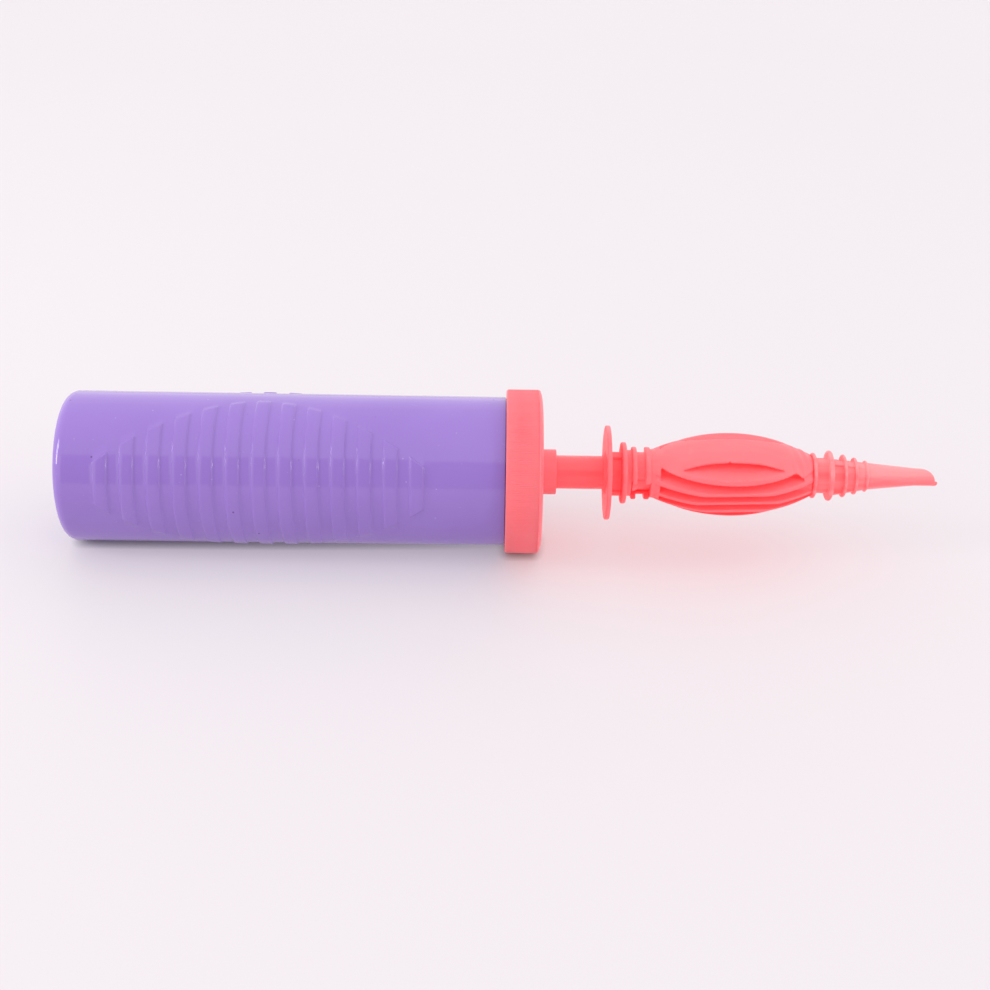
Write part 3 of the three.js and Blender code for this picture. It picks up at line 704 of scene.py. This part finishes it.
def nozzle_field(x, y, z):
    front, top = turned_axes(y, z, BEVEL_FACES_UP)
    r = np.hypot(y, z)
    shank = np.maximum(r - SHANK_R, np.maximum(NOZZLE_START - x, x - SHANK_END_X))
    cone_r = CONE_R + (SPOUT_R - CONE_R) * (x - CONE_X[0]) / (CONE_X[1] - CONE_X[0])
    wall_r = np.where(x < ROOT_END_X, ROOT_R, np.maximum(SPOUT_R, cone_r))
    body = np.maximum(r - wall_r, np.maximum(HANDLE_END + 0.1 - x, x - NOZZLE_END - 1))
    for bead_x, bead_r, half in BEADS:
        bead = np.hypot(np.maximum(r - bead_r + half, 0), x - bead_x) - half
        body = smooth_min(body, bead, 0.2)
    first_x, first_r, first_half = BEADS[0]
    foot = np.maximum(np.maximum(HANDLE_END + 0.1 - x, x - first_x), r - first_r + first_half)
    body = np.minimum(body, foot)
    along = (x - GUSSET_X[0]) / (GUSSET_X[1] - GUSSET_X[0])
    gusset_r = GUSSET_R[0] + (GUSSET_R[1] - GUSSET_R[0]) * along
    ends = np.maximum(np.maximum(GUSSET_X[0] - x, x - GUSSET_X[1]), r - gusset_r)
    for turn in (60, 180, 300):
        out, side = turned_axes(y, z, BEVEL_FACES_UP + turn)
        gusset = np.maximum(np.maximum(np.abs(side) - GUSSET_WIDTH / 2, -out), ends)
        body = smooth_min(body, gusset, 0.3)
    solid = np.minimum(shank, body)
    bevel = np.hypot(np.maximum(x - BEVEL_X, 0), front - BEVEL_FRONT) - BEVEL_R
    solid = smooth_max(solid, bevel - 0.5 * np.maximum(BEVEL_X - x, 0), 0.5)
    lip = np.sqrt((x - NOZZLE_END + LIP_R) ** 2 + (front - LIP_FRONT) ** 2 + top**2) - LIP_R
    solid = smooth_min(solid, lip, 0.4)
    return smooth_max(solid, np.interp(x, NOZZLE_BORE_X, NOZZLE_BORE_R) - r, 0.2)


def make_nozzle():
    reach = 9.2  # a little beyond the widest bead
    low = (NOZZLE_START - 0.5, -reach, -reach)
    high = (NOZZLE_END + 0.6, reach, reach)
    nozzle = make_piece("stepped_nozzle", *field_mesh(nozzle_field, low, high, NOZZLE_CELL))
    thin_out(nozzle, NOZZLE_TRIANGLES)
    return nozzle


# ---------------------------------------------------------------- materials


def add_node(tree, kind, inputs=None, **settings):
    """A shader node with its settings made, and its inputs set or linked."""
    node = tree.nodes.new(kind)
    for key, value in settings.items():
        setattr(node, key, value)
    for key, value in (inputs or {}).items():
        if isinstance(value, bpy.types.NodeSocket):
            tree.links.new(value, node.inputs[key])
        else:
            node.inputs[key].default_value = value
    return node


def linear(red, green, blue):
    """A colour given as it looks on screen, 0 to 255, as the renderer wants it."""
    def one(c):
        c = c / 255
        return c / 12.92 if c <= 0.04045 else ((c + 0.055) / 1.055) ** 2.4
    return (one(red), one(green), one(blue), 1)


def coral_with_red_glow(green, blue, red_glow_gain=1.2):
    """A coral that gives back more red than falls on it: red above 1 is a painted glow that stands for light
    passing through the plastic.
    """
    _, g, b, _ = linear(255, green, blue)
    return (red_glow_gain, g, b, 1)


def blank_material(name):
    material = bpy.data.materials.new(name)
    material.use_nodes = True
    tree = material.node_tree
    tree.nodes.clear()
    shader = add_node(tree, "ShaderNodeBsdfPrincipled")
    add_node(tree, "ShaderNodeOutputMaterial", {"Surface": shader.outputs[0]})
    return material, tree, shader


def place_in_mm(tree, stretch=(1, 1, 1), turn=(0, 0, 0)):
    """Places on a piece for its textures: turned, in millimetres, then stretched along each axis."""
    position = add_node(tree, "ShaderNodeTexCoord").outputs["Object"]
    settings = {"Vector": position, "Rotation": turn}
    turned = add_node(tree, "ShaderNodeVectorRotate", settings, rotation_type="EULER_XYZ")
    settings = {0: turned.outputs[0], 1: tuple(s / MM for s in stretch)}
    return add_node(tree, "ShaderNodeVectorMath", settings, operation="MULTIPLY").outputs[0]


def noise(tree, place, per_mm, detail=2.0):
    settings = {"Vector": place, "Scale": per_mm, "Detail": detail}
    return add_node(tree, "ShaderNodeTexNoise", settings).outputs["Fac"]


def remap(tree, value, from_low, from_high, to_low=0.0, to_high=1.0):
    """A smooth ramp from one range of values to another, level beyond its ends."""
    settings = {"Value": value, "From Min": from_low, "From Max": from_high}
    settings.update({"To Min": to_low, "To Max": to_high})
    return add_node(tree, "ShaderNodeMapRange", settings, interpolation_type="SMOOTHSTEP").outputs["Result"]


def combine(tree, operation, a, b):
    return add_node(tree, "ShaderNodeMath", {0: a, 1: b}, operation=operation).outputs[0]


def spots(tree, place, per_mm, share, size):
    """1 inside small spots. Only a share of the cells of a random grid hold one."""
    cells = add_node(tree, "ShaderNodeTexVoronoi", {"Vector": place, "Scale": per_mm})
    chosen = remap(tree, cells.outputs["Color"], 1 - share, 1 - share + 0.001)
    near = remap(tree, cells.outputs["Distance"], size, size * 0.5)
    return combine(tree, "MULTIPLY", chosen, near)


def mix_colour(tree, amount, a, b):
    node = add_node(tree, "ShaderNodeMix", data_type="RGBA")
    for socket, value in ((node.inputs[0], amount), (node.inputs[6], a), (node.inputs[7], b)):
        if isinstance(value, bpy.types.NodeSocket):
            tree.links.new(value, socket)
        else:
            socket.default_value = value
    return node.outputs[2]


def scratches(tree, share):
    """1 along fine hairline scratches in three directions."""
    total = None
    for turn in ((0, 0, 0.12), (0.4, 0.1, -0.35), (1.1, 0.3, 0.9)):
        place = place_in_mm(tree, stretch=(0.06, 2.6, 2.6), turn=turn)
        lines = spots(tree, place, 1.0, share, 0.13)
        total = lines if total is None else combine(tree, "MAXIMUM", total, lines)
    return total


def bumped(tree, shader, height, depth_mm):
    bump = add_node(tree, "ShaderNodeBump", {"Height": height, "Distance": depth_mm * MM, "Strength": 1.0})
    tree.links.new(bump.outputs[0], shader.inputs["Normal"])


def glossy_purple():
    """Blown polypropylene: glossy, faintly uneven in colour, with hairlines and a few dark specks."""
    material, tree, shader = blank_material("purple_gloss")
    place = place_in_mm(tree)
    cloud = noise(tree, place, 0.03, 3)
    base = mix_colour(tree, remap(tree, cloud, 0.3, 0.7), PURPLE, PURPLE_DEEP)
    lines = scratches(tree, 0.15)
    base = mix_colour(tree, combine(tree, "MULTIPLY", lines, 0.32), base, PURPLE_WORN)
    pale = spots(tree, place, 0.3, 0.3, 0.08)
    base = mix_colour(tree, combine(tree, "MULTIPLY", pale, 0.5), base, PURPLE_WORN)
    dark = spots(tree, place, 0.16, 0.5, 0.07)
    base = mix_colour(tree, combine(tree, "MULTIPLY", dark, 0.7), base, SPECK)
    tree.links.new(base, shader.inputs["Base Color"])
    rough = remap(tree, noise(tree, place, 0.25, 4), 0.3, 0.7, 0.07, 0.11)
    rough = combine(tree, "ADD", rough, combine(tree, "MULTIPLY", lines, 0.25))
    tree.links.new(rough, shader.inputs["Roughness"])
    shader.inputs["IOR"].default_value = 1.47
    ripple = combine(tree, "MULTIPLY", noise(tree, place, 0.12, 1), 0.6)
    fine = combine(tree, "MULTIPLY", noise(tree, place, 3.0, 2), 0.02)
    height = combine(tree, "ADD", ripple, fine)
    height = combine(tree, "SUBTRACT", height, combine(tree, "MULTIPLY", lines, 0.04))
    bumped(tree, shader, height, 0.1)
    return material


def satin_plastic(name, colour, deep, pale, roughness, flow, wear=1.0, glow=0.0):
    """Injection-moulded plastic: satin, slightly translucent, with flow marks along the axis and a faint red
    emission that is a painted glow.
    """
    material, tree, shader = blank_material(name)
    place = place_in_mm(tree)
    streaks = noise(tree, place_in_mm(tree, stretch=flow), 1.0, 3)
    base = mix_colour(tree, remap(tree, streaks, 0.3, 0.7), colour, deep)
    cloud = remap(tree, noise(tree, place, 0.15, 3), 0.55, 0.75, 0, 0.25 * wear)
    base = mix_colour(tree, cloud, base, pale)
    scuff = scratches(tree, 0.06)
    base = mix_colour(tree, combine(tree, "MULTIPLY", scuff, 0.2 * wear), base, pale)
    dark = spots(tree, place, 0.25, 0.07, 0.06)
    base = mix_colour(tree, combine(tree, "MULTIPLY", dark, 0.35 * wear), base, SPECK)
    tree.links.new(base, shader.inputs["Base Color"])
    rough = remap(tree, noise(tree, place, 0.6, 4), 0.3, 0.7, roughness - 0.05, roughness + 0.07)
    tree.links.new(rough, shader.inputs["Roughness"])
    shader.inputs["IOR"].default_value = 1.46
    shader.inputs["Subsurface Weight"].default_value = 0.15
    shader.inputs["Subsurface Radius"].default_value = (1.0, 0.2, 0.2)
    shader.inputs["Subsurface Scale"].default_value = 2 * MM
    # A red emission of strength glow: a painted glow that stands for light passing through the plastic.
    shader.inputs["Emission Color"].default_value = (1, 0, 0, 1)
    shader.inputs["Emission Strength"].default_value = glow
    grain = noise(tree, place, 6.0, 3)
    bumped(tree, shader, combine(tree, "ADD", combine(tree, "MULTIPLY", grain, 0.12), streaks), 0.02 * wear)
    return material


def dull_rubber():
    material, tree, shader = blank_material("rubber_black")
    place = place_in_mm(tree)
    bloom = remap(tree, noise(tree, place, 0.5, 4), 0.45, 0.75)
    base = mix_colour(tree, bloom, RUBBER, RUBBER_WORN)
    tree.links.new(base, shader.inputs["Base Color"])
    tree.links.new(remap(tree, bloom, 0, 1, 0.55, 0.8), shader.inputs["Roughness"])
    bumped(tree, shader, noise(tree, place, 5.0, 3), 0.03)
    return material


GLOW = 0.14  # strength of the faint red light that stands for light passing through the coral plastic
LONG_FLOW = (0.02, 0.3, 0.3)  # flow marks drawn out along the axis

PURPLE = linear(155, 123, 205)
PURPLE_DEEP = linear(151, 119, 201)
PURPLE_WORN = linear(205, 188, 235)
SPECK = linear(70, 40, 70)
# Coral colours whose red above 1 is a painted glow for light passing through the plastic; the cap's red
# stays at 1, with no such glow.
CORAL = coral_with_red_glow(124, 131)
CORAL_DEEP = coral_with_red_glow(119, 126)
CORAL_PALE = coral_with_red_glow(146, 151)
CAP_CORAL = coral_with_red_glow(123, 131, red_glow_gain=1.0)
CAP_CORAL_DEEP = coral_with_red_glow(120, 128, red_glow_gain=1.0)
ROD_CORAL = coral_with_red_glow(121, 128)
ROD_CORAL_DEEP = coral_with_red_glow(117, 124)
NOZZLE_CORAL = coral_with_red_glow(155, 158)
NATURAL = linear(232, 227, 216)
NATURAL_DEEP = linear(224, 217, 203)
NATURAL_PALE = linear(240, 237, 230)
RUBBER = linear(38, 38, 41)
RUBBER_WORN = linear(66, 66, 70)


# ---------------------------------------------------------------- the pump


def finish_piece(piece, material, body, node):
    piece.data.materials.clear()
    piece.data.materials.append(material)
    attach(piece, body)
    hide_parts(node)


purple = glossy_purple()
cap_coral = satin_plastic(
    "cap_satin", CAP_CORAL, CAP_CORAL_DEEP, CAP_CORAL, 0.42, LONG_FLOW, wear=0.5, glow=0.02
)
coral = satin_plastic("coral_satin", CORAL, CORAL_DEEP, CORAL_PALE, 0.42, LONG_FLOW, glow=GLOW)
nozzle_coral = satin_plastic("nozzle_satin", NOZZLE_CORAL, CORAL, CORAL_PALE, 0.42, LONG_FLOW, glow=GLOW)
rod_coral = satin_plastic(
    "rod_satin", ROD_CORAL, ROD_CORAL_DEEP, CORAL, 0.2, (0.01, 0.5, 0.5), wear=0.08, glow=GLOW
)
natural = satin_plastic("natural_satin", NATURAL, NATURAL_DEEP, NATURAL_PALE, 0.45, (0.1, 0.4, 0.4))
rubber = dull_rubber()

finish_piece(make_barrel(), purple, "barrel", "barrel")
finish_piece(make_cap(), cap_coral, "cap", "cap")
finish_piece(make_rod(), rod_coral, "rod", "rod")
finish_piece(make_handle(), coral, "rod", "handle")
finish_piece(make_nozzle(), nozzle_coral, "rod", "nozzle")

RUBBER_NODES = (
    "base_valve_ring", "cap_gasket", "rod_seal", "cap_valve_ring", "piston_o_ring", "push_valve_ring",
    "pull_valve_ring", "socket_o_ring",
)
NATURAL_NODES = (
    "base_valve_rivet", "seal_retainer", "push_valve_rivet", "pull_valve_keeper", "rod_lock_ring",
)
CORAL_NODES = ("piston_cup", "piston_cover")
for names, material in ((RUBBER_NODES, rubber), (NATURAL_NODES, natural), (CORAL_NODES, coral)):
    for name in names:
        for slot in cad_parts[name].material_slots:
            slot.material = material


# ---------------------------------------------------------------- table, light and camera

WALLS = (1.24, 1.21, 1.23, 1)
DARK_PATCH = (0.20, 0.19, 0.21, 1)
CEILING = (1.12, 1.10, 1.12, 1)
CEILING_STARTS = (0.655, 0.675)  # heights of a view direction between which the walls give way to it
PATCH_EDGE = (0.86, 0.95)  # how far a view direction points at the camera, where the patch fades in
TABLE = (0.473, 0.447, 0.460, 1)
TABLE_DEEP = (0.463, 0.439, 0.452, 1)
TABLE_GLOW = (1.0, 0.94, 0.98, 1)
TABLE_GLOW_STRENGTH = 0.33
CONTACT_SHADOW_REACH = 3  # the table's own glow fades out this near to anything that stands on it: a painted contact shadow


def make_floor():
    """A faintly glowing table top that the barrel's base and the cap's rim both rest on. Its glow fades near
    the pump as a painted contact shadow.
    """
    base_x, cap_x = 4, 151
    tilt = math.atan((CAP_R - BARREL_R) / (cap_x - base_x))
    half = 4.0
    corners = [(-half, -half, 0), (half, -half, 0), (half, half, 0), (-half, half, 0)]
    mesh = bpy.data.meshes.new("table_top")
    mesh.from_pydata(corners, [], [(0, 1, 2, 3)])
    floor = bpy.data.objects.new("table_top", mesh)
    bpy.context.collection.objects.link(floor)
    floor.location = Vector((base_x, 0, -BARREL_R - 0.03)) * MM
    floor.rotation_euler = (0, tilt, 0)
    material, tree, shader = blank_material("table_white")
    place = place_in_mm(tree)
    cloud = noise(tree, place, 0.004, 2)
    tree.links.new(mix_colour(tree, cloud, TABLE, TABLE_DEEP), shader.inputs["Base Color"])
    # Ambient occlusion dims the table's glow near the pump: a painted contact shadow.
    contact_occlusion = add_node(tree, "ShaderNodeAmbientOcclusion", {"Distance": CONTACT_SHADOW_REACH * MM}, samples=8)
    glow_with_painted_shadow = combine(tree, "MULTIPLY", contact_occlusion.outputs["AO"], TABLE_GLOW_STRENGTH)
    tree.links.new(glow_with_painted_shadow, shader.inputs["Emission Strength"])
    shader.inputs["Emission Color"].default_value = TABLE_GLOW
    shader.inputs["Roughness"].default_value = 0.55
    shader.inputs["Specular IOR Level"].default_value = 0.2
    floor.data.materials.append(material)


def make_world():
    """A bright ceiling, bright walls, and a darker patch low down behind the camera."""
    world = bpy.data.worlds.new("studio")
    bpy.context.scene.world = world
    world.use_nodes = True
    tree = world.node_tree
    tree.nodes.clear()
    direction = add_node(tree, "ShaderNodeTexCoord").outputs["Generated"]
    parts = add_node(tree, "ShaderNodeSeparateXYZ", {0: direction})
    height = parts.outputs["Z"]
    level_squared = combine(tree, "SUBTRACT", 1.0, combine(tree, "MULTIPLY", height, height))
    level = combine(tree, "SQRT", level_squared, 0.0)
    towards_camera = combine(tree, "DIVIDE", combine(tree, "MULTIPLY", parts.outputs["Y"], -1.0), level)
    behind_camera = remap(tree, towards_camera, *PATCH_EDGE)
    walls = mix_colour(tree, behind_camera, WALLS, DARK_PATCH)
    colour = mix_colour(tree, remap(tree, height, *CEILING_STARTS), walls, CEILING)
    background = add_node(tree, "ShaderNodeBackground", {"Color": colour, "Strength": 1.0})
    add_node(tree, "ShaderNodeOutputWorld", {"Surface": background.outputs[0]})


def soft_light(name, place, size, watts, target):
    light = bpy.data.lights.new(name, "AREA")
    light.shape = "RECTANGLE"
    light.size, light.size_y = size
    light.energy = watts
    lamp = bpy.data.objects.new(name, light)
    bpy.context.collection.objects.link(lamp)
    lamp.location = place
    lamp.rotation_euler = (Vector(target) - Vector(place)).to_track_quat("-Z", "Y").to_euler()


def make_camera():
    """Square on to the pump's side, looking down on it."""
    down, roll, distance = math.radians(28), math.radians(0.8), 539
    target = Vector((142, -4.08, -6.9)) * MM
    away = Vector((0, -math.cos(down), math.sin(down)))
    data = bpy.data.cameras.new("camera")
    data.lens = 58.76
    data.sensor_width = 36
    data.clip_start = 0.01
    camera = bpy.data.objects.new("camera", data)
    bpy.context.collection.objects.link(camera)
    camera.location = target + away * distance * MM
    facing = (-away).to_track_quat("-Z", "Y").to_matrix().to_4x4()
    camera.rotation_euler = (facing @ Matrix.Rotation(roll, 4, "Z")).to_euler()
    bpy.context.scene.camera = camera


make_floor()
make_world()
soft_light("left_panel", (-0.75, -0.22, 0.36), (0.18, 0.42), 2.5, (0.07, 0, 0))
soft_light("right_panel", (0.95, -0.40, 0.26), (0.15, 0.15), 0.9, (0.07, 0, 0))
make_camera()
bpy.context.scene.view_settings.view_transform = "Standard"
